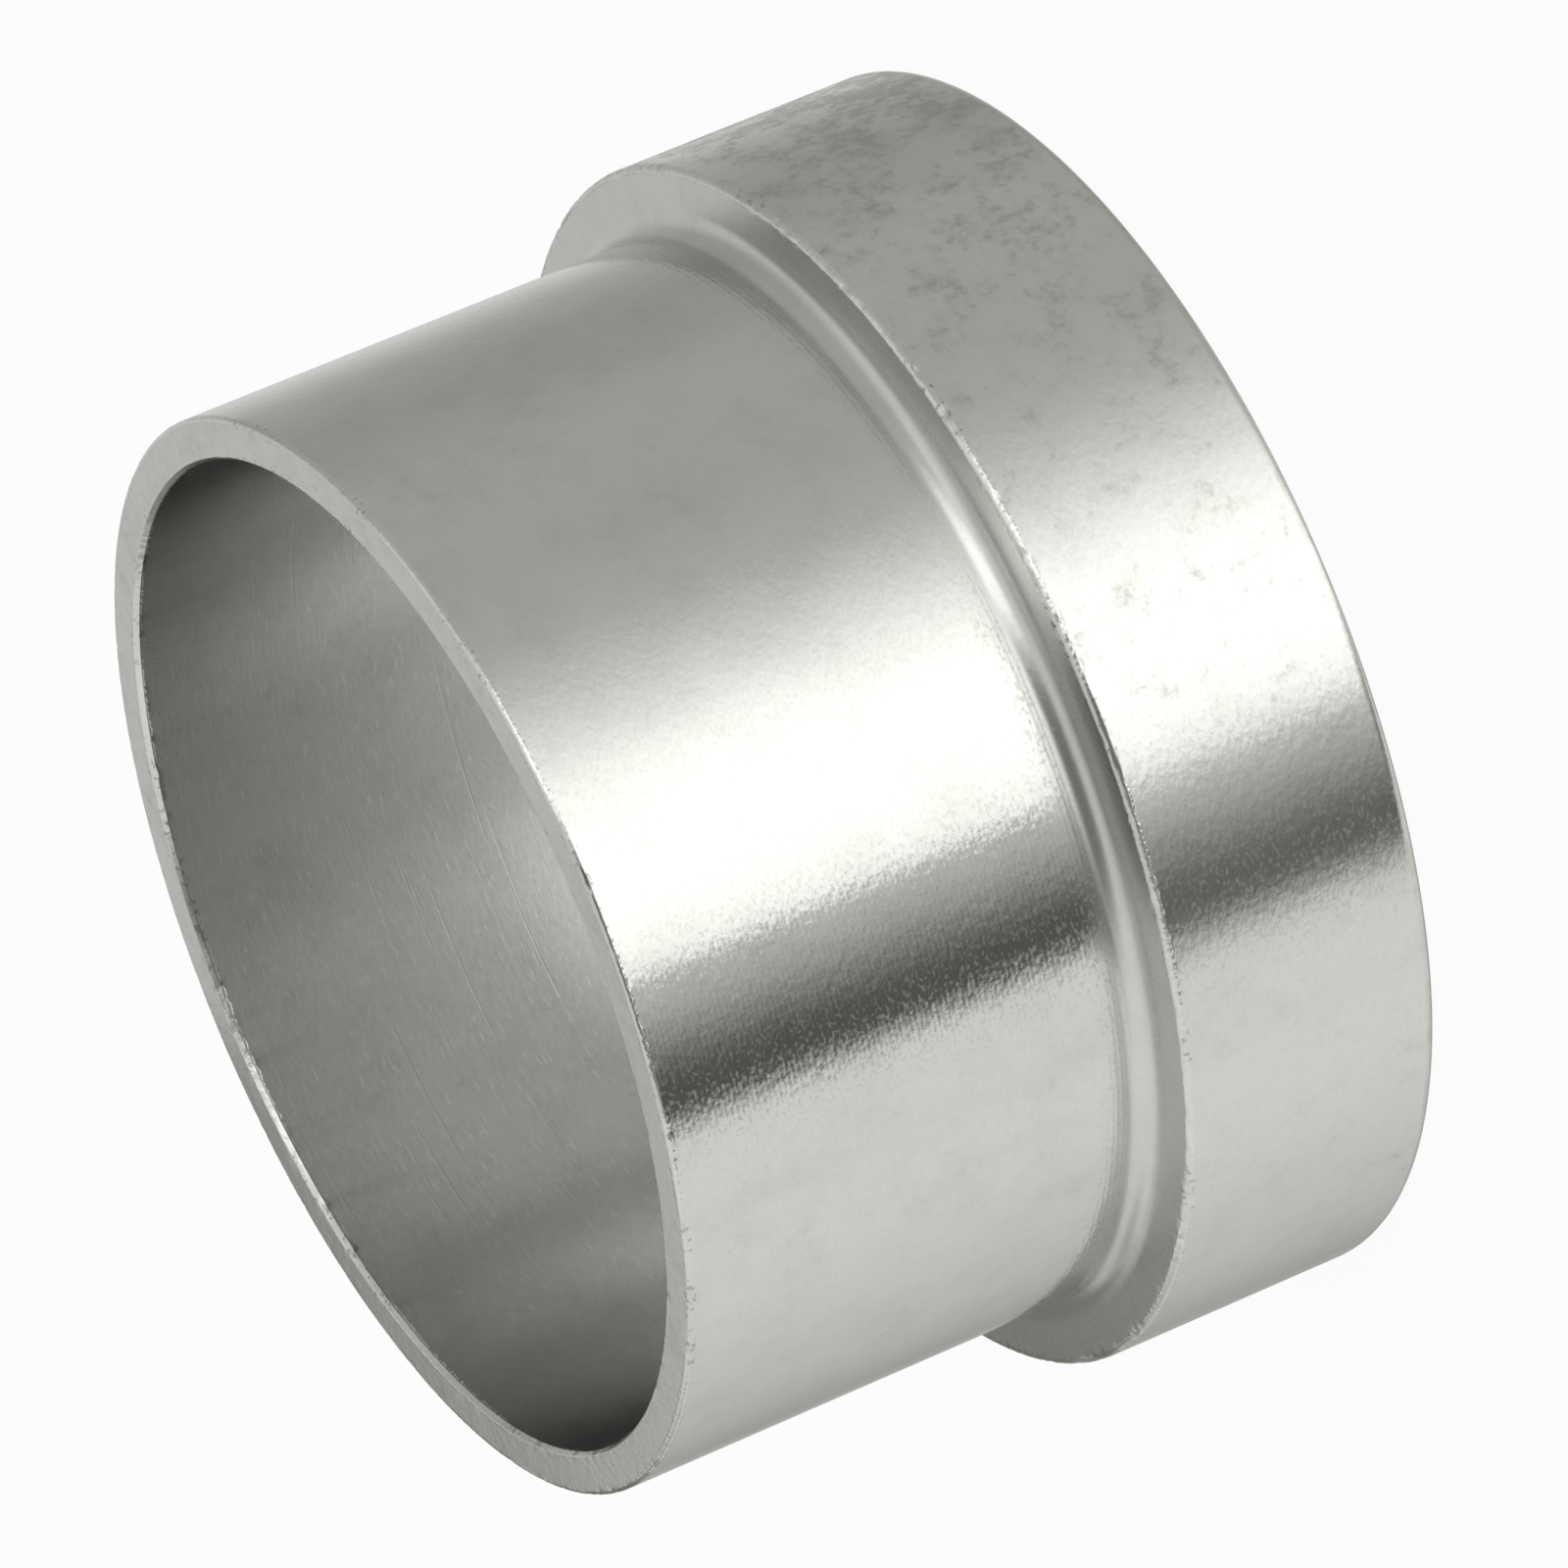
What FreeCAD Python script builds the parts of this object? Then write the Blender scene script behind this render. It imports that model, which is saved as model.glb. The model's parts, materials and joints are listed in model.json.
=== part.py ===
import FreeCAD, Part
import math
import os
import Sketcher

# Flare tube sleeve, turned in one piece from steel bar.
# The thin body slips along the tube, and the head carries the tube's 37 degree flare.
# It stands on the flare end: Z is the turning axis and z = 0 is the flare end face.

doc = FreeCAD.newDocument("FlareTubeSleeve")

# Driving dimensions, in millimetres and degrees
driving_sizes = {
    "tube_diameter": 31.75,  # outer diameter of the 1 1/4 inch tube
    "bore_clearance": 0.15,  # on the diameter, between the tube and the bore
    "wall_thickness": 1.4,  # of the thin body
    "shoulder_step": 2.15,  # radial height of the shoulder that the nut presses on
    "body_length": 15.9,  # from the shoulder to the thin end
    "head_length": 8.7,  # from the flare end to the shoulder
    "seat_half_angle": 37.0,  # between the flare seat and the turning axis
    "end_land": 0.9,  # radial width of the flare end face, round the seat's mouth
    "heel_radius": 1.2,  # where the seat turns into the bore
    "shoulder_fillet": 0.75,  # in the corner between the body and the shoulder
    "shoulder_rim_chamfer": 0.15,  # on the head's rim beside the shoulder
    "flare_rim_radius": 0.35,  # the head's rim at the flare end
    "thin_rim_chamfer": 0.1,  # on the body's outer rim at the thin end
    "bore_rim_chamfer": 0.1,  # on the bore's rim at the thin end
}

sheet = doc.addObject("Spreadsheet::Sheet", "Dimensions")
for row, (alias, value) in enumerate(driving_sizes.items(), start=1):
    sheet.set("A%d" % row, alias)
    sheet.set("B%d" % row, str(value))
    sheet.setAlias("B%d" % row, alias)
doc.recompute()

# Radii and heights that follow from the driving dimensions
bore_radius = "(Dimensions.tube_diameter + Dimensions.bore_clearance) / 2"
body_radius = bore_radius + " + Dimensions.wall_thickness"
head_radius = body_radius + " + Dimensions.shoulder_step"
mouth_radius = head_radius + " - Dimensions.end_land"
flare_end_height = "0"
shoulder_height = "Dimensions.head_length"
thin_end_height = "Dimensions.head_length + Dimensions.body_length"


def measure(expression):
    return float(sheet.evalExpression(expression))


# Sketches lie on a plane through the turning axis: sketch X is radius, sketch Y is height
def axial_sketch(body, name):
    sketch = body.newObject("Sketcher::SketchObject", name)
    for plane in body.Origin.OriginFeatures:
        if plane.Role == "XZ_Plane":
            sketch.AttachmentSupport = [(plane, "")]
    sketch.MapMode = "FlatFace"
    return sketch


def bind(sketch, name, expression, kind, *reference):
    value = measure(expression)
    if kind == "Angle":
        value = math.radians(value)
    sketch.addConstraint(Sketcher.Constraint(kind, *reference, value))
    sketch.renameConstraint(sketch.ConstraintCount - 1, name)
    sketch.setExpression("Constraints." + name, expression)


def turn(body, kind, name, sketch):
    feature = body.newObject(kind, name)
    feature.Profile = sketch
    feature.ReferenceAxis = (sketch, ["V_Axis"])
    feature.Angle = 360
    doc.recompute()
    return feature


# Half section of the stepped tube: head, shoulder and thin body round a straight bore
def draw_step_section(sketch):
    outline = [
        (bore_radius, flare_end_height),
        (head_radius, flare_end_height),
        (head_radius, shoulder_height),
        (body_radius, shoulder_height),
        (body_radius, thin_end_height),
        (bore_radius, thin_end_height),
    ]
    corners = [FreeCAD.Vector(measure(radius), measure(height), 0) for radius, height in outline]
    followers = corners[1:] + corners[:1]
    for start, end in zip(corners, followers):
        sketch.addGeometry(Part.LineSegment(start, end), False)
    flare_end, head, shoulder, body_side, thin_end, bore = range(len(corners))
    for side in range(len(corners)):
        sketch.addConstraint(Sketcher.Constraint("Coincident", side, 2, (side + 1) % len(corners), 1))
    for side in (flare_end, shoulder, thin_end):
        sketch.addConstraint(Sketcher.Constraint("Horizontal", side))
    for side in (head, body_side, bore):
        sketch.addConstraint(Sketcher.Constraint("Vertical", side))
    sketch.addConstraint(Sketcher.Constraint("PointOnObject", flare_end, 1, -1))
    bind(sketch, "BoreRadius", bore_radius, "DistanceX", -1, 1, flare_end, 1)
    bind(sketch, "Wall", "Dimensions.wall_thickness", "DistanceX", thin_end, 2, thin_end, 1)
    bind(sketch, "Step", "Dimensions.shoulder_step", "DistanceX", shoulder, 2, shoulder, 1)
    bind(sketch, "HeadLength", "Dimensions.head_length", "DistanceY", head, 1, head, 2)
    bind(sketch, "BodyLength", "Dimensions.body_length", "DistanceY", body_side, 1, body_side, 2)


# Half section of what the flare seat takes out: a cone from the mouth, with a round heel to the bore
def draw_seat_section(sketch):
    bore_r = measure(bore_radius)
    mouth_r = measure(mouth_radius)
    heel_r = measure("Dimensions.heel_radius")
    half_angle = math.radians(measure("Dimensions.seat_half_angle"))
    throat_height = (mouth_r - bore_r) / math.tan(half_angle)
    tangent_length = heel_r * math.tan(half_angle / 2)
    heel_centre = FreeCAD.Vector(bore_r + heel_r, throat_height + tangent_length, 0)
    cone_top = heel_centre - FreeCAD.Vector(heel_r * math.cos(half_angle), heel_r * math.sin(half_angle), 0)
    bore_foot = FreeCAD.Vector(bore_r, 0, 0)
    mouth_edge = FreeCAD.Vector(mouth_r, 0, 0)
    heel_top = FreeCAD.Vector(bore_r, heel_centre.y, 0)
    heel_circle = Part.Circle(heel_centre, FreeCAD.Vector(0, 0, 1), heel_r)

    face = sketch.addGeometry(Part.LineSegment(bore_foot, mouth_edge), False)
    cone = sketch.addGeometry(Part.LineSegment(mouth_edge, cone_top), False)
    heel = sketch.addGeometry(Part.ArcOfCircle(heel_circle, math.pi, math.pi + half_angle), False)
    bore = sketch.addGeometry(Part.LineSegment(heel_top, bore_foot), False)
    sketch.addConstraint(Sketcher.Constraint("Coincident", face, 2, cone, 1))
    sketch.addConstraint(Sketcher.Constraint("Coincident", bore, 2, face, 1))
    sketch.addConstraint(Sketcher.Constraint("Tangent", cone, 2, heel, 2))
    sketch.addConstraint(Sketcher.Constraint("Tangent", heel, 1, bore, 1))
    sketch.addConstraint(Sketcher.Constraint("Horizontal", face))
    sketch.addConstraint(Sketcher.Constraint("Vertical", bore))
    sketch.addConstraint(Sketcher.Constraint("PointOnObject", face, 1, -1))
    bind(sketch, "BoreRadius", bore_radius, "DistanceX", -1, 1, face, 1)
    bind(sketch, "MouthRadius", mouth_radius, "DistanceX", -1, 1, face, 2)
    bind(sketch, "HeelRadius", "Dimensions.heel_radius", "Radius", heel)
    bind(sketch, "SeatHalfAngle", "Dimensions.seat_half_angle * 1 deg", "Angle", bore, 1, cone, 2)


# The full circle of one rim, found by its radius and height
def find_rim(feature, radius, height):
    tolerance = 1e-4
    for number, edge in enumerate(feature.Shape.Edges, start=1):
        if not isinstance(edge.Curve, Part.Circle):
            continue
        radius_error = abs(edge.Curve.Radius - measure(radius))
        height_error = abs(edge.Curve.Center.z - measure(height))
        if radius_error < tolerance and height_error < tolerance:
            return "Edge%d" % number
    raise ValueError("no rim of radius %s at height %s" % (radius, height))


def ease_rim(body, kind, name, radius, height, property_name, size):
    previous = body.Tip
    feature = body.newObject(kind, name)
    feature.Base = (previous, [find_rim(previous, radius, height)])
    feature.setExpression(property_name, "Dimensions." + size)
    doc.recompute()


def round_rim(body, name, radius, height, size):
    ease_rim(body, "PartDesign::Fillet", name, radius, height, "Radius", size)


def chamfer_rim(body, name, radius, height, size):
    ease_rim(body, "PartDesign::Chamfer", name, radius, height, "Size", size)


sleeve = doc.addObject("PartDesign::Body", "FlareSleeve")
sleeve.Label = "flare_sleeve"

step_section = axial_sketch(sleeve, "StepSection")
draw_step_section(step_section)
stepped_tube = turn(sleeve, "PartDesign::Revolution", "SteppedTube", step_section)

seat_section = axial_sketch(sleeve, "SeatSection")
draw_seat_section(seat_section)
flare_seat = turn(sleeve, "PartDesign::Groove", "FlareSeat", seat_section)
if flare_seat.Shape.Volume >= stepped_tube.Shape.Volume:
    raise ValueError("the flare seat takes nothing out")

# The inside corner under the shoulder, then the rims, all eased as they come off the lathe
round_rim(sleeve, "ShoulderFillet", body_radius, shoulder_height, "shoulder_fillet")
chamfer_rim(sleeve, "ShoulderRim", head_radius, shoulder_height, "shoulder_rim_chamfer")
round_rim(sleeve, "FlareEndRim", head_radius, flare_end_height, "flare_rim_radius")
chamfer_rim(sleeve, "ThinEndRim", body_radius, thin_end_height, "thin_rim_chamfer")
chamfer_rim(sleeve, "BoreRim", bore_radius, thin_end_height, "bore_rim_chamfer")

# Every feature has to stand before the shape is written
for feature in doc.Objects:
    if "Invalid" in feature.State or "Error" in feature.State:
        raise ValueError("%s failed" % feature.Name)
if sleeve.Shape.isNull() or not sleeve.Shape.isValid():
    raise ValueError("%s has no valid shape" % sleeve.Label)

os.makedirs("parts", exist_ok=True)
sleeve.Shape.exportStep(os.path.join("parts", sleeve.Label + ".step"))
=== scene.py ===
import json
import math

import bmesh
import bpy
from mathutils import Matrix, Vector, noise


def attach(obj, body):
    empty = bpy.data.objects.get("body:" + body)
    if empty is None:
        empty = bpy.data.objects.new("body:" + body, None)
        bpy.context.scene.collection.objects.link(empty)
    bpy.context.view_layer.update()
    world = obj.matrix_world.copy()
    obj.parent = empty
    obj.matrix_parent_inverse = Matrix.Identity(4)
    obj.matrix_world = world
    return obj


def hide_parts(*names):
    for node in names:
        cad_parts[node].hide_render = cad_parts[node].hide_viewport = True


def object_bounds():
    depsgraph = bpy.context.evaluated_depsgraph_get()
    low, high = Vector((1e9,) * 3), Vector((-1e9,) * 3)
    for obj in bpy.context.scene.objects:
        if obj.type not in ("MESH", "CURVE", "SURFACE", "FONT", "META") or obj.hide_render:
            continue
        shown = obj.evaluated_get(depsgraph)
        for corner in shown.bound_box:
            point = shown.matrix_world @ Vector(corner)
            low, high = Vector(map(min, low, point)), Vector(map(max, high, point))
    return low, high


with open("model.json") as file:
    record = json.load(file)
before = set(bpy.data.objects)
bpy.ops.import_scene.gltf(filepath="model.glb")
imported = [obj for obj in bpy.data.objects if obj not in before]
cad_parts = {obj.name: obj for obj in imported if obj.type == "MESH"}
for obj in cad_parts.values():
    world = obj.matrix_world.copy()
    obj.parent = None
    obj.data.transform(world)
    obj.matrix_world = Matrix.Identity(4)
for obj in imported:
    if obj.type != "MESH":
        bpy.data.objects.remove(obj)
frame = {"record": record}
cadLow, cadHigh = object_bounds()
mounts = {mount["name"]: mount for mount in frame["record"]["mounts"]}
mm = 0.001
print("frame loaded")


# Nodes: small helpers that every material and the studio use
def addNode(tree, kind, **settings):
    node = tree.nodes.new(kind)
    for name, value in settings.items():
        setattr(node, name, value)
    return node


def plug(tree, value, socket):
    if isinstance(value, bpy.types.NodeSocket):
        tree.links.new(value, socket)
    else:
        socket.default_value = value


def calc(tree, operation, *values, clamp=False):
    node = addNode(tree, "ShaderNodeMath", operation=operation, use_clamp=clamp)
    for value, socket in zip(values, node.inputs):
        plug(tree, value, socket)
    return node.outputs[0]


# A soft step between two values: 0 up to the first and 1 from the second on
def ramp(tree, value, zeroAt, oneAt):
    node = addNode(tree, "ShaderNodeMapRange", interpolation_type="SMOOTHSTEP")
    for name, number in (("Value", value), ("From Min", zeroAt), ("From Max", oneAt)):
        plug(tree, number, node.inputs[name])
    return node.outputs["Result"]


def sumOfSquares(tree, x, y):
    return calc(tree, "ADD", calc(tree, "MULTIPLY", x, x), calc(tree, "MULTIPLY", y, y))


def mixColour(tree, factor, first, second):
    node = addNode(tree, "ShaderNodeMix", data_type="RGBA")
    plug(tree, factor, node.inputs[0])
    plug(tree, first, node.inputs[6])
    plug(tree, second, node.inputs[7])
    return node.outputs[2]


def mixNumber(tree, factor, first, second):
    node = addNode(tree, "ShaderNodeMix", data_type="FLOAT")
    plug(tree, factor, node.inputs[0])
    plug(tree, first, node.inputs[2])
    plug(tree, second, node.inputs[3])
    return node.outputs[0]


def mixShader(tree, factor, first, second):
    node = addNode(tree, "ShaderNodeMixShader")
    for value, socket in zip((factor, first, second), node.inputs):
        plug(tree, value, socket)
    return node.outputs[0]


def objectPlace(tree):
    return addNode(tree, "ShaderNodeTexCoord").outputs["Object"]


def splitPlace(tree, place):
    node = addNode(tree, "ShaderNodeSeparateXYZ")
    plug(tree, place, node.inputs[0])
    return node.outputs


def joinPlace(tree, *values):
    node = addNode(tree, "ShaderNodeCombineXYZ")
    for value, socket in zip(values, node.inputs):
        plug(tree, value, socket)
    return node.outputs[0]


def noiseAt(tree, place, scale, detail, roughness=0.5):
    node = addNode(tree, "ShaderNodeTexNoise")
    for name, value in (("Vector", place), ("Scale", scale), ("Detail", detail), ("Roughness", roughness)):
        plug(tree, value, node.inputs[name])
    return node.outputs["Fac"]


def newGroup(name, inputs, outputs):
    group = bpy.data.node_groups.new(name, "ShaderNodeTree")
    for label, value in inputs.items():
        socket = group.interface.new_socket(label, in_out="INPUT", socket_type="NodeSocketFloat")
        socket.default_value = value
    for label in outputs:
        group.interface.new_socket(label, in_out="OUTPUT", socket_type="NodeSocketFloat")
    return group, addNode(group, "NodeGroupInput").outputs, addNode(group, "NodeGroupOutput").inputs


def useGroup(tree, group, values):
    node = addNode(tree, "ShaderNodeGroup", node_tree=group)
    for name, value in values.items():
        plug(tree, value, node.inputs[name])
    return node


# An empty material, with its node tree and the socket that its shader goes to
def newMaterial(name):
    material = bpy.data.materials.new(name)
    material.use_nodes = True
    tree = material.node_tree
    tree.nodes.clear()
    return material, tree, addNode(tree, "ShaderNodeOutputMaterial").inputs["Surface"]


# Puts a finished mesh into the scene as one object
def newPiece(name, mesh, meshName):
    data = bpy.data.meshes.new(meshName)
    mesh.to_mesh(data)
    mesh.free()
    piece = bpy.data.objects.new(name, data)
    bpy.context.scene.collection.objects.link(piece)
    return piece


# Tool lines that run round the turning axis: even feed lines along the section and uneven ones among them,
# now and then a deeper score, and short fine scratches, which the bore paints lighter as painted sheen
marksPattern = {
    "linesPerFeed": 0.8,  # noise steps across the lines, for each feed
    "roundSleeve": 0.09,  # noise steps along the lines, for each mm
    "lineDetail": 1.0,
    "scores": (0.6, 0.8),  # the noise at which a score starts, and at which it is full
    "acrossScratch": 14,  # noise steps for each mm
    "alongScratch": 2.2,
    "scratches": (0.6, 0.86),
}


def makeTurningMarks():
    sockets = {"Feed": 0.18, "Uneven": 0.5}
    group, given, result = newGroup("turningMarks", sockets, ["Lines", "Scores", "ScratchSheen"])
    p = marksPattern
    x, y, z = splitPlace(group, objectPlace(group))
    section = calc(group, "ADD", calc(group, "SQRT", sumOfSquares(group, x, y)), z)
    turns = calc(group, "DIVIDE", section, calc(group, "MULTIPLY", given["Feed"], mm))
    lines = joinPlace(
        group,
        calc(group, "MULTIPLY", turns, p["linesPerFeed"]),
        calc(group, "MULTIPLY", x, p["roundSleeve"] / mm),
        calc(group, "MULTIPLY", y, p["roundSleeve"] / mm),
    )
    uneven = noiseAt(group, lines, 1.0, p["lineDetail"])
    even = calc(group, "SINE", calc(group, "MULTIPLY", turns, 2 * math.pi))
    even = calc(group, "MULTIPLY_ADD", even, 0.5, 0.5)
    dashes = joinPlace(
        group,
        calc(group, "MULTIPLY", section, p["acrossScratch"] / mm),
        calc(group, "MULTIPLY", x, p["alongScratch"] / mm),
        calc(group, "MULTIPLY", y, p["alongScratch"] / mm),
    )
    plug(group, mixNumber(group, given["Uneven"], even, uneven), result["Lines"])
    plug(group, ramp(group, uneven, *p["scores"]), result["Scores"])
    plug(group, ramp(group, noiseAt(group, dashes, 1.0, 0.0), *p["scratches"]), result["ScratchSheen"])
    return group


# The grain of the plating, drawn out round the axis: soft pebbles, and fine crystals strewn among them
grainPattern = {
    "drawnOut": (1.0, 1.0, 1.45),
    "pebbleDetail": 2.0,
    "finer": 2.0,  # how many times finer the crystals are
    "rarest": 0.75,  # the noise at which crystals start when few are asked for
    "more": 0.4,
    "softEdge": 0.22,
}


def makePlatingGrain():
    group, given, result = newGroup("platingGrain", {"Size": 0.36, "Crystals": 0.2}, ["Pebbles", "Crystals"])
    p = grainPattern
    drawn = addNode(group, "ShaderNodeMapping")
    plug(group, objectPlace(group), drawn.inputs["Vector"])
    plug(group, p["drawnOut"], drawn.inputs["Scale"])
    place = drawn.outputs[0]
    pebbles = noiseAt(group, place, calc(group, "DIVIDE", 1 / mm, given["Size"]), p["pebbleDetail"])
    crystals = noiseAt(group, place, calc(group, "DIVIDE", p["finer"] / mm, given["Size"]), 0.0)
    edge = calc(group, "SUBTRACT", p["rarest"], calc(group, "MULTIPLY", given["Crystals"], p["more"]))
    plug(group, pebbles, result["Pebbles"])
    plug(group, ramp(group, crystals, edge, calc(group, "ADD", edge, p["softEdge"])), result["Crystals"])
    return group


# Cloudy stains left in the plating, with small dark specks where the clouds are thickest.
# They can gather towards one side of the sleeve and towards its flare end
stainPattern = {
    "side": (0.75, 0.3, -0.8),  # the pull along X, Y and Z
    "thick": (0.3, 0.6),  # how far to that side the stains get thicker still, and by how much
    "thicker": 0.5,
    "cloudDetail": 2.0,
    "speckDetail": 3.0,
    "speckFiner": 4.5,  # how many times finer the specks are
    "speckShare": 0.9,
    "coarse": 0.7,
    "toneSide": 0.4,  # the share of the pull that the faint clouds follow
    "clouds": (0.32, 0.72),
    "rarest": 0.75,  # the noise at which patches start when little cover is asked for
    "more": 0.3,
    "patchStart": 0.08,  # how far under that noise a patch starts, and how far over it the patch is full
    "patchFull": 0.26,
}


def makeStains():
    sockets = {"Size": 1.8, "Cover": 0.5, "One Side": 0.0}
    group, given, result = newGroup("stains", sockets, ["Cloud", "Patch"])
    p = stainPattern
    place = objectPlace(group)
    cloudScale = calc(group, "DIVIDE", 1.0 / mm, given["Size"])
    speckScale = calc(group, "DIVIDE", p["speckFiner"] / mm, given["Size"])
    cloud = noiseAt(group, place, cloudScale, p["cloudDetail"], p["coarse"])
    specks = noiseAt(group, place, speckScale, p["speckDetail"], p["coarse"])
    x, y, z = splitPlace(group, place)
    toSide = calc(group, "MULTIPLY", x, p["side"][0] / cadHigh.x)
    toSide = calc(group, "MULTIPLY_ADD", y, p["side"][1] / cadHigh.x, toSide)
    toSide = calc(group, "MULTIPLY_ADD", z, p["side"][2] / cadHigh.z, toSide)
    toSide = calc(group, "MULTIPLY_ADD", ramp(group, toSide, *p["thick"]), p["thicker"], toSide)
    toSide = calc(group, "MULTIPLY", toSide, given["One Side"])
    tone = calc(group, "MULTIPLY_ADD", toSide, p["toneSide"], cloud)
    mass = calc(group, "SUBTRACT", specks, 0.5)
    mass = calc(group, "MULTIPLY_ADD", mass, p["speckShare"], calc(group, "ADD", cloud, toSide))
    edge = calc(group, "SUBTRACT", p["rarest"], calc(group, "MULTIPLY", given["Cover"], p["more"]))
    start, full = calc(group, "SUBTRACT", edge, p["patchStart"]), calc(group, "ADD", edge, p["patchFull"])
    plug(group, ramp(group, tone, *p["clouds"]), result["Cloud"])
    plug(group, ramp(group, mass, start, full), result["Patch"])
    return group


# Knocked rims: the mesh says how near a rim is, and noise breaks the strip up into beads.
# It leaves gaps in the strip, with small dark pits
wearPattern = {
    "ragged": 0.8,
    "softEdge": 0.15,
    "gapSize": 20,  # the gaps' size, in beads
    "gaps": (0.4, 0.56),
    "pitsNear": (0.1, 0.4),
    "pits": (0.42, 0.32),
    "pitGaps": (0.52, 0.42),
}


def makeRimWear():
    group, given, result = newGroup("rimWear", {"Size": 0.25, "Reach": 0.5}, ["Worn", "Beads", "Pits"])
    p = wearPattern
    near = addNode(group, "ShaderNodeAttribute", attribute_name="nearRim").outputs["Fac"]
    place = objectPlace(group)
    ragged = noiseAt(group, place, calc(group, "DIVIDE", 1 / mm, given["Size"]), 1.0)
    gaps = noiseAt(group, place, calc(group, "DIVIDE", 1 / p["gapSize"] / mm, given["Size"]), 1.0)
    edge = calc(group, "SUBTRACT", 1.0, given["Reach"])
    height = calc(group, "MULTIPLY", calc(group, "SUBTRACT", ragged, 0.5), p["ragged"])
    height = calc(group, "ADD", near, height)
    start, full = calc(group, "SUBTRACT", edge, p["softEdge"]), calc(group, "ADD", edge, p["softEdge"])
    worn = calc(group, "MULTIPLY", ramp(group, height, start, full), ramp(group, gaps, *p["gaps"]))
    pits = calc(group, "MULTIPLY", ramp(group, ragged, *p["pits"]), ramp(group, near, *p["pitsNear"]))
    plug(group, worn, result["Worn"])
    plug(group, calc(group, "MULTIPLY", worn, ragged), result["Beads"])
    plug(group, calc(group, "MULTIPLY", pits, ramp(group, gaps, *p["pitGaps"])), result["Pits"])
    return group


turningMarks = makeTurningMarks()
platingGrain = makePlatingGrain()
stains = makeStains()
rimWear = makeRimWear()
print("node groups made")


# Plated steel: the body's wall, the stained head, the formed fillet, the faced ends and the bored inside.
# Sizes and depths are in mm
finishes = {
    "turned": {
        "clean": (0.605, 0.61, 0.572, 1), "cloudy": (0.57, 0.575, 0.537, 1),
        "patch": (0.53, 0.535, 0.495, 1), "worn": (0.64, 0.645, 0.61, 1),
        "roughness": 0.085, "anisotropic": 0.35, "lineGloss": 0.03, "crystalGloss": 0.12, "patchGloss": 0.015,
        "feed": 0.181, "uneven": 0.5, "lineDepth": 0.0021, "scoreDepth": 0.0005,
        "grainSize": 0.29, "grainDepth": 0.0067, "grainTone": 1.2, "crystals": 0.6,
        "stainSize": 2.2, "stainCover": 0.2, "oneSide": 0.0,
        "footGloss": 0.1,
    },
    "stained": {
        "clean": (0.615, 0.62, 0.585, 1), "cloudy": (0.577, 0.582, 0.543, 1),
        "patch": (0.435, 0.44, 0.4, 1), "worn": (0.66, 0.665, 0.63, 1),
        "roughness": 0.165, "anisotropic": 0.35, "lineGloss": 0.03, "crystalGloss": 0.08, "patchGloss": 0.12,
        "feed": 0.2, "uneven": 0.8, "lineDepth": 0.0011, "scoreDepth": 0.0006,
        "grainSize": 0.31, "grainDepth": 0.0066, "grainTone": 1.3, "crystals": 0.5,
        "stainSize": 1.7, "stainCover": 0.53, "oneSide": 0.2,
    },
    "formed": {
        "clean": (0.6, 0.605, 0.583, 1), "cloudy": (0.57, 0.575, 0.55, 1),
        "patch": (0.54, 0.545, 0.515, 1), "worn": (0.62, 0.625, 0.6, 1),
        "roughness": 0.23, "anisotropic": 0.35, "lineGloss": 0.04, "crystalGloss": 0.05, "patchGloss": 0.015,
        "feed": 0.3, "uneven": 0.9, "lineDepth": 0.0008, "scoreDepth": 0.0004,
        "grainSize": 0.36, "grainDepth": 0.003, "grainTone": 1.0, "crystals": 0.4,
        "stainSize": 2.0, "stainCover": 0.2, "oneSide": 0.0,
    },
    "faced": {
        "clean": (0.595, 0.6, 0.565, 1), "cloudy": (0.55, 0.555, 0.517, 1),
        "patch": (0.5, 0.505, 0.465, 1), "worn": (0.64, 0.645, 0.61, 1),
        "roughness": 0.22, "anisotropic": 0.3, "lineGloss": 0.05, "crystalGloss": 0.06, "patchGloss": 0.015,
        "feed": 0.15, "uneven": 0.7, "lineDepth": 0.0012, "scoreDepth": 0.0008,
        "grainSize": 0.31, "grainDepth": 0.0065, "grainTone": 2.0, "crystals": 0.4,
        "stainSize": 1.2, "stainCover": 0.45, "oneSide": 0.0,
    },
    "bored": {
        "clean": (0.6, 0.605, 0.585, 1), "cloudy": (0.565, 0.57, 0.55, 1),
        "patch": (0.51, 0.515, 0.49, 1), "worn": (0.64, 0.645, 0.61, 1),
        "roughness": 0.19, "anisotropic": 0.3, "lineGloss": 0.03, "crystalGloss": 0.03, "patchGloss": 0.015,
        "feed": 0.11, "uneven": 1.0, "lineDepth": 0.0006, "scoreDepth": 0.0015,
        "grainSize": 0.2, "grainDepth": 0.0016, "grainTone": 4.5, "crystals": 0.4,
        "stainSize": 2.0, "stainCover": 0.35, "oneSide": 0.0,
        # painted sheen: a lighter colour for the scratches, standing in for the light that they scatter
        "scratchSheen": (0.675, 0.68, 0.655, 1),
    },
}

# The rims' wear, the same on every finish
rims = {
    "beadSize": 0.2,
    "reach": 0.3,
    "beadHeight": 0.022,
    "wornGloss": 0.1,
    "pitColour": (0.3, 0.3, 0.27, 1),  # the colour of the small dark pits along the rims
    "pitShare": 0.75,
}

# The foot of the body gets duller and smoother down to the fillet, between two heights over it
foot = {"top": 1.0, "bottom": 0.1, "smoothing": 0.7}


# How far down the foot of the body a spot lies, from 0 to 1
def footMask(tree):
    z = splitPlace(tree, objectPlace(tree))[2]
    fillet = mounts["nut_shoulder"]["pos_m"][2] + sleeve["shoulderFillet"] * mm
    return ramp(tree, z, fillet + foot["top"] * mm, fillet + foot["bottom"] * mm)


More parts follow.
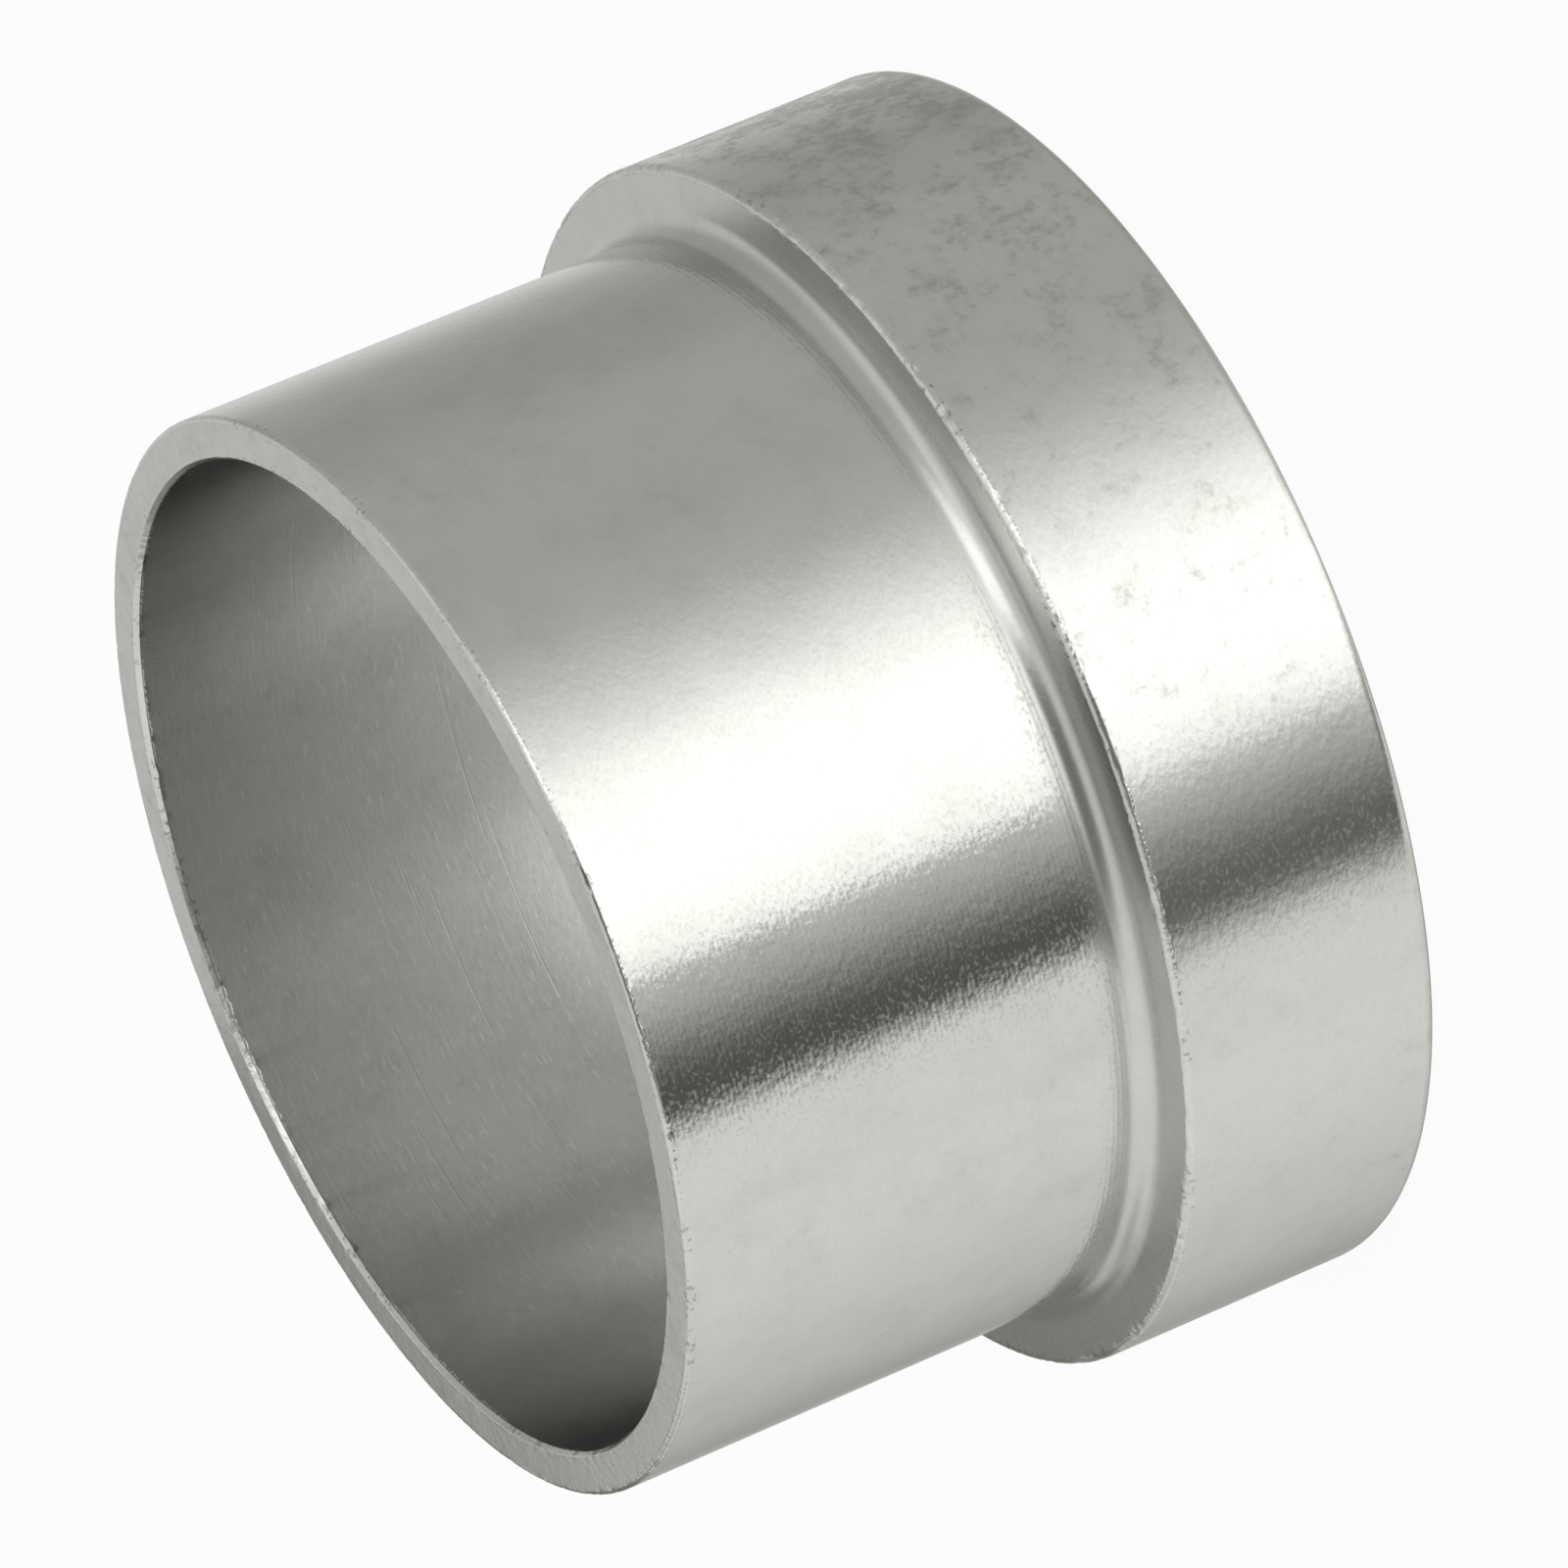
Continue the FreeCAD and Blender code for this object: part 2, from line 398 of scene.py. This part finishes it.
def makePlatedSteel(name, finish):
    material, tree, output = newMaterial(name)
    surface = addNode(tree, "ShaderNodeBsdfPrincipled")
    plug(tree, surface.outputs[0], output)
    surface.inputs["Metallic"].default_value = 1.0
    surface.inputs["Anisotropic"].default_value = finish["anisotropic"]
    surface.inputs["Anisotropic Rotation"].default_value = 0.25  # the tool lines run along the tangent
    tangent = addNode(tree, "ShaderNodeTangent", direction_type="RADIAL", axis="Z")
    plug(tree, tangent.outputs[0], surface.inputs["Tangent"])

    marksValues = {"Feed": finish["feed"], "Uneven": finish["uneven"]}
    marks = useGroup(tree, turningMarks, marksValues).outputs
    grainValues = {"Size": finish["grainSize"], "Crystals": finish["crystals"]}
    grain = useGroup(tree, platingGrain, grainValues).outputs
    stainValues = {"Size": finish["stainSize"], "Cover": finish["stainCover"], "One Side": finish["oneSide"]}
    staining = useGroup(tree, stains, stainValues).outputs
    wearValues = {"Size": rims["beadSize"], "Reach": rims["reach"]}
    wear = useGroup(tree, rimWear, wearValues).outputs

    grey = calc(tree, "SUBTRACT", grain["Pebbles"], 0.5)
    grey = calc(tree, "MULTIPLY_ADD", grey, finish["grainTone"], staining["Cloud"], clamp=True)
    colour = mixColour(tree, grey, finish["clean"], finish["cloudy"])
    colour = mixColour(tree, staining["Patch"], colour, finish["patch"])
    # painted sheen: real scratches painted lighter, standing in for the light that they scatter
    if "scratchSheen" in finish:
        colour = mixColour(tree, marks["ScratchSheen"], colour, finish["scratchSheen"])
    colour = mixColour(tree, wear["Worn"], colour, finish["worn"])
    # small dark spots in the pits along the rims
    darkPits = calc(tree, "MULTIPLY", wear["Pits"], rims["pitShare"])
    colour = mixColour(tree, darkPits, colour, rims["pitColour"])
    plug(tree, colour, surface.inputs["Base Color"])

    rough = calc(tree, "MULTIPLY_ADD", staining["Patch"], finish["patchGloss"], finish["roughness"])
    rough = calc(tree, "MULTIPLY_ADD", marks["Lines"], finish["lineGloss"], rough)
    rough = calc(tree, "MULTIPLY_ADD", grain["Crystals"], finish["crystalGloss"], rough)
    grainDepth = finish["grainDepth"] * mm
    if "footGloss" in finish:
        dull = footMask(tree)
        rough = calc(tree, "MULTIPLY_ADD", dull, finish["footGloss"], rough)
        grainDepth = calc(tree, "MULTIPLY_ADD", dull, -foot["smoothing"] * grainDepth, grainDepth)
    rough = calc(tree, "MULTIPLY_ADD", wear["Worn"], rims["wornGloss"], rough, clamp=True)
    plug(tree, rough, surface.inputs["Roughness"])

    height = calc(tree, "MULTIPLY", grain["Pebbles"], grainDepth)
    height = calc(tree, "MULTIPLY_ADD", marks["Lines"], finish["lineDepth"] * mm, height)
    height = calc(tree, "MULTIPLY_ADD", marks["Scores"], -finish["scoreDepth"] * mm, height)
    height = calc(tree, "MULTIPLY_ADD", wear["Beads"], rims["beadHeight"] * mm, height)
    bump = addNode(tree, "ShaderNodeBump")
    for label, value in (("Height", height), ("Strength", 1.0), ("Distance", 1.0)):
        plug(tree, value, bump.inputs[label])
    plug(tree, bump.outputs[0], surface.inputs["Normal"])
    return material


# The sleeve, in millimetres: main sizes come from the frame, small rims and rounds are set here
sleeve = {
    "headRadius": cadHigh.x / mm,
    "bodyRadius": mounts["sleeve_body"]["dims"]["r_mm"],
    "boreRadius": mounts["tube_bore"]["dims"]["r_mm"],
    "top": cadHigh.z / mm,
    "bottom": cadLow.z / mm,
    "shoulder": mounts["nut_shoulder"]["pos_m"][2] / mm,
    "endLand": 0.9,
    "seatAngle": 37.0,
    "heelRadius": 1.2,
    "shoulderFillet": 0.75,
    "flareRim": 0.35,
    "shoulderChamfer": 0.15,
    "thinChamfer": 0.1,
    "boreChamfer": 0.12,
    "boreChamferRise": 0.16,
    "brokenEdge": 0.03,  # the tiny round on every turned corner
    "tumbledShoulder": 0.2,  # the worn round on the shoulder's rim, and on the thin end's outer rim
    "tumbledThinEnd": 0.14,
    "segments": 800,
    "rimRows": (0.05, 0.12, 0.25),  # extra rows beside each corner, in mm from it
}

finishNames = list(finishes)
platedSteel = [makePlatedSteel(name + "PlatedSteel", finishes[name]) for name in finishNames]
print("materials made")


def sleeveCorners():
    s = sleeve
    mouth = s["headRadius"] - s["endLand"]
    throat = s["bottom"] + (mouth - s["boreRadius"]) / math.tan(math.radians(s["seatAngle"]))
    edge = s["brokenEdge"]
    # radius, height, rounding, rows in the rounding, and the finish and rows of the side that follows
    return [
        (mouth, s["bottom"], edge, 2, "faced", 1),
        (s["headRadius"], s["bottom"], s["flareRim"], 6, "stained", 4),
        (s["headRadius"], s["shoulder"] - s["shoulderChamfer"], s["tumbledShoulder"], 3, "stained", 1),
        (s["headRadius"] - s["shoulderChamfer"], s["shoulder"], s["tumbledShoulder"], 3, "formed", 1),
        (s["bodyRadius"], s["shoulder"], s["shoulderFillet"], 12, "turned", 5),
        (s["bodyRadius"], s["top"] - s["thinChamfer"], s["tumbledThinEnd"], 3, "turned", 1),
        (s["bodyRadius"] - s["thinChamfer"], s["top"], s["tumbledThinEnd"], 3, "faced", 2),
        (s["boreRadius"] + s["boreChamfer"], s["top"], edge, 2, "bored", 2),
        (s["boreRadius"], s["top"] - s["boreChamferRise"], edge, 2, "bored", 5),
        (s["boreRadius"], throat, s["heelRadius"], 8, "faced", 3),
    ]


# Each corner becomes an arc that meets both its sides, and each side gets rows that crowd near its ends
def sectionOutline(corners):
    outline = []
    spots = [Vector((corner[0], corner[1])) for corner in corners]
    for number, (_, _, rounding, arcRows, finish, sideRows) in enumerate(corners):
        here, before, after = spots[number], spots[number - 1], spots[(number + 1) % len(spots)]
        back, on = (before - here).normalized(), (after - here).normalized()
        half = back.angle(on) / 2
        reach = rounding / math.tan(half)
        centre = here + (back + on).normalized() * rounding / math.sin(half)
        first, last = here + back * reach - centre, here + on * reach - centre
        turn = first.angle_signed(last)
        for row in range(arcRows + 1):
            spoke = first.copy()
            spoke.rotate(Matrix.Rotation(-turn * row / arcRows, 2))
            arcFinish = finish if row == arcRows else corners[number - 1][4]
            outline.append({"place": centre + spoke, "finish": arcFinish})
        nextRounding = corners[(number + 1) % len(corners)][2]
        far = spots[(number + 2) % len(spots)]
        nextHalf = (here - after).normalized().angle((far - after).normalized()) / 2
        start, end = here + on * reach, after - on * nextRounding / math.tan(nextHalf)
        length = (end - start).length
        close = [gap for gap in sleeve["rimRows"] if gap < length / 3]
        first, last = (close[-1], length - close[-1]) if close else (0.0, length)
        middle = [first + (last - first) * row / sideRows for row in range(1, sideRows)]
        for along in close + middle + [length - gap for gap in reversed(close)]:
            outline.append({"place": start + on * along, "finish": finish})
    return outline


# Rims that were knocked about: between which corners, how deep the dents are and how far they reach, in mm
rimDamage = {
    "rims": [(2, 3, 0.05), (5, 6, 0.02), (7, 8, 0.02), (1, 1, 0.015)],
    "reach": 0.2,
    "bumps": 3.0,  # noise steps for each mm, and the share of the bumps in a dent
    "bumpShare": 0.8,
    "chips": 0.9,  # the same for the larger chips
    "chipShare": 0.4,
    "chipLift": 50,  # takes the chips from another part of the noise
    "threshold": 0.1,
    "strength": 2,
}


def rimDistance(place, start, end):
    along = end - start
    share = (place - start).dot(along) / max(along.length_squared, 1e-9)
    return (place - start - along * min(1.0, max(0.0, share))).length


# Notes at each row which way is out, how near a rim is and how deep its dents go
def findRims(outline, spots):
    for number, point in enumerate(outline):
        side = outline[(number + 1) % len(outline)]["place"] - outline[number - 1]["place"]
        point["outward"] = Vector((side.y, -side.x)).normalized()
        point["near"], point["depth"] = 0.0, 0.0
        for first, last, depth in rimDamage["rims"]:
            near = 1 - rimDistance(point["place"], spots[first], spots[last]) / rimDamage["reach"]
            if near > point["near"]:
                point["near"], point["depth"] = near, depth


def dentAt(point, angle):
    d = rimDamage
    radius, height = point["place"]
    x, y = radius * math.cos(angle), radius * math.sin(angle)
    bumps = noise.noise(Vector((x, y, height)) * d["bumps"])
    chips = noise.noise(Vector((x, y, height + d["chipLift"])) * d["chips"])
    hit = max(0.0, bumps * d["bumpShare"] + chips * d["chipShare"] - d["threshold"])
    return hit * point["near"] * point["depth"] * d["strength"]


def makeRing(mesh, point, nearRim):
    ring = []
    for step in range(sleeve["segments"]):
        angle = 2 * math.pi * step / sleeve["segments"]
        radius, height = point["place"]
        if point["near"] > 0:
            dent = dentAt(point, angle)
            radius -= point["outward"].x * dent
            height -= point["outward"].y * dent
        vertex = mesh.verts.new((radius * mm * math.cos(angle), radius * mm * math.sin(angle), height * mm))
        vertex[nearRim] = point["near"]
        ring.append(vertex)
    return ring


def buildSleeve():
    corners = sleeveCorners()
    outline = sectionOutline(corners)
    findRims(outline, [Vector(corner[:2]) for corner in corners])
    count, segments = len(outline), sleeve["segments"]
    mesh = bmesh.new()
    nearRim = mesh.verts.layers.float.new("nearRim")
    rings = [makeRing(mesh, point, nearRim) for point in outline]
    lengths = [0.0]
    for number in range(count):
        side = outline[(number + 1) % count]["place"] - outline[number]["place"]
        lengths.append(lengths[-1] + side.length)
    unwrap = mesh.loops.layers.uv.new("OFBake")  # once round across, along the section upwards
    for number in range(count):
        ring, following = rings[number], rings[(number + 1) % count]
        low, high = lengths[number] / lengths[-1], lengths[number + 1] / lengths[-1]
        for step in range(segments):
            onward = (step + 1) % segments
            face = mesh.faces.new((ring[step], ring[onward], following[onward], following[step]))
            face.smooth = True
            face.material_index = finishNames.index(outline[number]["finish"])
            left, right = step / segments, (step + 1) / segments
            for loop, spot in zip(face.loops, ((left, low), (right, low), (right, high), (left, high))):
                loop[unwrap].uv = spot
    mesh.normal_update()
    piece = newPiece("turnedSleeve", mesh, "flareSleeve")
    for material in platedSteel:
        piece.data.materials.append(material)
    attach(piece, "root")
    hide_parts("flare_sleeve")
    return piece


turnedSleeve = buildSleeve()
print("sleeve built:", len(turnedSleeve.data.polygons), "faces")


# One for the rays that show a background: straight from the camera, mirrored, or through glass
def seenDirectly(tree, path):
    shown = calc(tree, "MAXIMUM", path["Is Camera Ray"], path["Is Glossy Ray"])
    return calc(tree, "MAXIMUM", shown, path["Is Transmission Ray"])


# The floor is pale and keeps the object's shadow. From below it is clear
floorSettings = {"size": 8.0, "gap": 0.00001, "colour": (0.95, 0.95, 0.95, 1), "ownLight": 0.93}


def buildFloor():
    mesh = bmesh.new()
    half = floorSettings["size"] / 2
    height = cadLow.z - floorSettings["gap"]
    corners = ((-half, -half), (half, -half), (half, half), (-half, half))
    mesh.faces.new([mesh.verts.new((x, y, height)) for x, y in corners])
    floor = newPiece("paleFloor", mesh, "paleFloor")
    floor.visible_glossy = False  # the metal mirrors the studio all round, as if held in the air
    material, tree, output = newMaterial("paleFloor")
    matt = addNode(tree, "ShaderNodeBsdfDiffuse")
    glow = addNode(tree, "ShaderNodeEmission")
    clear = addNode(tree, "ShaderNodeBsdfTransparent")
    path = addNode(tree, "ShaderNodeLightPath").outputs
    side = addNode(tree, "ShaderNodeNewGeometry").outputs
    plug(tree, floorSettings["colour"], matt.inputs["Color"])
    plug(tree, 1.0, glow.inputs["Strength"])
    ownLight = calc(tree, "MULTIPLY", seenDirectly(tree, path), floorSettings["ownLight"])
    pale = mixShader(tree, ownLight, matt.outputs[0], glow.outputs[0])
    plug(tree, mixShader(tree, side["Backfacing"], pale, clear.outputs[0]), output)
    floor.data.materials.append(material)


buildFloor()
print("floor laid")


# The studio: soft cards round the object, in degrees, each laid over the ones before it.
# Azimuth 0 is in front, at -Y, and grows towards -X.
# A card leans by "lean" degrees of azimuth for each degree of height
studio = {
    "room": 0.68,
    "bright": (1.0, 1.0, 1.0, 1),
    "dark": (0.98, 1.0, 0.94, 1),  # dark cards are a little green
    "greenEdge": (0.1, 0.8),  # light up to the first is green in full, and from the second on it is white
    "level": -22,  # the height at which a leaning card stands at its azimuth
    "cards": {
        "ceiling": {"azimuth": 0, "halfWidth": 220, "low": 60, "high": 120, "softness": 30, "light": 0.8},
        "paleWall": {"azimuth": 158, "halfWidth": 45, "low": -80, "high": 30, "softness": 60, "light": 0.72},
        "paleCorner": {"azimuth": -60, "halfWidth": 40, "low": -80, "high": 45, "softness": 20, "light": 0.69},
        "greyWall": {"azimuth": -104, "halfWidth": 56, "low": -70, "high": 45, "softness": 40, "light": 0.545},
        "dimCorner": {"azimuth": -122, "halfWidth": 18, "low": -70, "high": 40, "softness": 34, "light": 0.445},
        "darkBack": {"azimuth": 163, "halfWidth": 15, "low": -70, "high": 5, "softness": 40, "light": 0.4},
        "window": {"azimuth": -1, "halfWidth": 23, "low": -80, "high": 0, "softness": 52, "light": 2.0},
        "windowTop": {"azimuth": -25, "halfWidth": 18, "low": 2, "high": 55, "softness": 24, "light": 1.85},
        "cameraShade": {"azimuth": 20, "halfWidth": 30, "low": 0, "high": 60, "softness": 24, "light": 0.22},
        "greyFlag": {
            "azimuth": 37.5, "halfWidth": 15.5, "low": -80, "high": 0, "softness": 4, "light": 0.7, "lean": 0.2,
        },
        "blackFlag": {
            "azimuth": 51, "halfWidth": 16.5, "low": -80, "high": 0, "softness": 23, "light": 0.12, "lean": 0.2,
        },
        "paleEdge": {
            "azimuth": 64, "halfWidth": 11, "low": -80, "high": 0, "softness": 8, "light": 1.0, "lean": 0.2,
        },
        "faceShade": {"azimuth": 180, "halfWidth": 34, "low": 14, "high": 60, "softness": 20, "light": 0.71},
        "shoulderShade": {"azimuth": 138, "halfWidth": 18, "low": 10, "high": 25, "softness": 12, "light": 0.5},
        "keyLight": {"azimuth": -62, "halfWidth": 12, "low": 50, "high": 72, "softness": 24, "light": 1.15},
    },
}


# One card's soft mask over the sky, from its middle, its half width and its lower and upper edges
def makeSoftCard():
    sockets = {"Around": 0.0, "Up": 0.0, "Azimuth": 0.0, "Lean": 0.0}
    sockets.update({"Half Width": 30.0, "Low": 0.0, "High": 30.0, "Softness": 10.0})
    group, given, result = newGroup("softCard", sockets, ["Mask"])
    lean = calc(group, "MULTIPLY", given["Lean"], calc(group, "SUBTRACT", given["Up"], studio["level"]))
    away = calc(group, "SUBTRACT", calc(group, "SUBTRACT", given["Around"], given["Azimuth"]), lean)
    away = calc(group, "ABSOLUTE", calc(group, "WRAP", away, 180.0, -180.0))
    soft = calc(group, "MULTIPLY", given["Softness"], 0.5)

    def eitherSide(edge):
        return calc(group, "SUBTRACT", edge, soft), calc(group, "ADD", edge, soft)

    inside, outside = eitherSide(given["Half Width"])
    across = ramp(group, away, outside, inside)
    outside, inside = eitherSide(given["Low"])
    above = ramp(group, given["Up"], outside, inside)
    inside, outside = eitherSide(given["High"])
    below = ramp(group, given["Up"], outside, inside)
    plug(group, calc(group, "MULTIPLY", across, calc(group, "MULTIPLY", above, below)), result["Mask"])
    return group


def buildStudio():
    softCard = makeSoftCard()
    world = bpy.data.worlds.new("studio")
    bpy.context.scene.world = world
    world.use_nodes = True
    tree = world.node_tree
    tree.nodes.clear()
    x, y, z = splitPlace(tree, addNode(tree, "ShaderNodeTexCoord").outputs["Generated"])
    around = calc(tree, "ARCTAN2", calc(tree, "MULTIPLY", x, -1.0), calc(tree, "MULTIPLY", y, -1.0))
    around = calc(tree, "DEGREES", around)
    up = calc(tree, "DEGREES", calc(tree, "ARCSINE", z))
    path = addNode(tree, "ShaderNodeLightPath").outputs
    light = mixNumber(tree, seenDirectly(tree, path), studio["room"], 1.0)
    for name, card in studio["cards"].items():
        mask = useGroup(tree, softCard, {
            "Around": around, "Up": up, "Azimuth": card["azimuth"], "Lean": card.get("lean", 0.0),
            "Half Width": card["halfWidth"], "Low": card["low"], "High": card["high"],
            "Softness": card["softness"],
        })
        mask.label = name
        light = mixNumber(tree, mask.outputs["Mask"], light, card["light"])
    light = mixNumber(tree, path["Is Camera Ray"], light, 1.0)
    back = addNode(tree, "ShaderNodeBackground")
    brightness = ramp(tree, light, *studio["greenEdge"])
    plug(tree, mixColour(tree, brightness, studio["dark"], studio["bright"]), back.inputs["Color"])
    plug(tree, light, back.inputs["Strength"])
    plug(tree, back.outputs[0], addNode(tree, "ShaderNodeOutputWorld").inputs["Surface"])


buildStudio()


# A stage piece that shows only where the metal mirrors it
def stageForMetal(card):
    card.visible_camera = card.visible_diffuse = card.visible_shadow = card.visible_transmission = False


# A dark card close behind the object darkens the far side of the flat faces
backFlag = {
    "left": -0.07, "right": 0.0, "low": 0.001, "high": 0.0515,
    "distance": 0.08,
    "grey": (0.22, 0.225, 0.205, 1),
}


def buildBackFlag():
    f = backFlag
    mesh = bmesh.new()
    corners = ((f["left"], f["low"]), (f["right"], f["low"]), (f["right"], f["high"]), (f["left"], f["high"]))
    mesh.faces.new([mesh.verts.new((x, f["distance"], z)) for x, z in corners])
    flag = newPiece("backFlag", mesh, "backFlag")
    stageForMetal(flag)
    material, tree, output = newMaterial("backFlag")
    dim = addNode(tree, "ShaderNodeEmission")
    plug(tree, f["grey"], dim.inputs["Color"])
    plug(tree, 1.0, dim.inputs["Strength"])
    plug(tree, dim.outputs[0], output)
    flag.data.materials.append(material)


buildBackFlag()


# A glowing disc under the flare end, seen only in the metal: it paints the shade of the ground under the
# object, which the bore mirrors, with the studio through it.
# This painted shade is brightest in the middle and on the -X side
underCard = {"gap": 0.000005, "middle": 0.93, "edgeFall": 0.36, "sideways": 0.24, "clear": 0.38, "sides": 96}


def buildUnderCard():
    radius = (sleeve["headRadius"] - sleeve["endLand"]) * mm
    mesh = bmesh.new()
    bmesh.ops.create_circle(mesh, cap_ends=True, segments=underCard["sides"], radius=radius)
    card = newPiece("underCard", mesh, "underCard")
    card.location.z = cadLow.z - underCard["gap"]
    stageForMetal(card)
    material, tree, output = newMaterial("underCard")
    x, y, _ = splitPlace(tree, objectPlace(tree))
    across, deep = (calc(tree, "DIVIDE", value, radius) for value in (x, y))
    fall = sumOfSquares(tree, across, deep)
    # painted shade for the bore to mirror, brightest in the middle and towards -X
    light = calc(tree, "MULTIPLY_ADD", fall, -underCard["edgeFall"], underCard["middle"])
    light = calc(tree, "MULTIPLY_ADD", across, -underCard["sideways"], light)
    glow = addNode(tree, "ShaderNodeEmission")
    plug(tree, light, glow.inputs["Strength"])
    clear = addNode(tree, "ShaderNodeBsdfTransparent")
    plug(tree, mixShader(tree, underCard["clear"], glow.outputs[0], clear.outputs[0]), output)
    card.data.materials.append(material)


buildUnderCard()
print("studio built")


# The camera: where the middle of the thin end falls in the photograph, and how far off it is
cameraSettings = {
    "pictureSide": 1600,  # pixels
    "focalLength": 15398,  # pixels
    "thinEndPixel": (402.2, 979.0),  # from the left and from the top
    "distance": 0.4525,
    "elevation": 21.59,
    "roll": -112.64,
    "sensor": 36.0,
    "clip": (0.01, 20),
}


def buildCamera():
    c = cameraSettings
    rise = math.radians(c["elevation"])
    back = Vector((0, -math.cos(rise), math.sin(rise)))
    level, upright = Vector((1, 0, 0)), Vector((0, math.sin(rise), math.cos(rise)))
    roll = math.radians(c["roll"])
    right = level * math.cos(roll) + upright * math.sin(roll)
    up = upright * math.cos(roll) - level * math.sin(roll)
    across = (c["thinEndPixel"][0] - c["pictureSide"] / 2) / c["focalLength"] * c["distance"]
    above = (c["pictureSide"] / 2 - c["thinEndPixel"][1]) / c["focalLength"] * c["distance"]
    thinEnd = Vector((0, 0, cadHigh.z))
    data = bpy.data.cameras.new("camera")
    data.sensor_width = c["sensor"]
    data.lens = c["focalLength"] * c["sensor"] / c["pictureSide"]
    data.clip_start, data.clip_end = c["clip"]
    camera = bpy.data.objects.new("camera", data)
    bpy.context.scene.collection.objects.link(camera)
    turned = Matrix((right, up, back)).transposed().to_4x4()
    turned.translation = thinEnd + back * c["distance"] - right * across - up * above
    camera.matrix_world = turned
    bpy.context.scene.camera = camera


buildCamera()
bpy.context.scene.view_settings.view_transform = "Standard"
print("camera set")
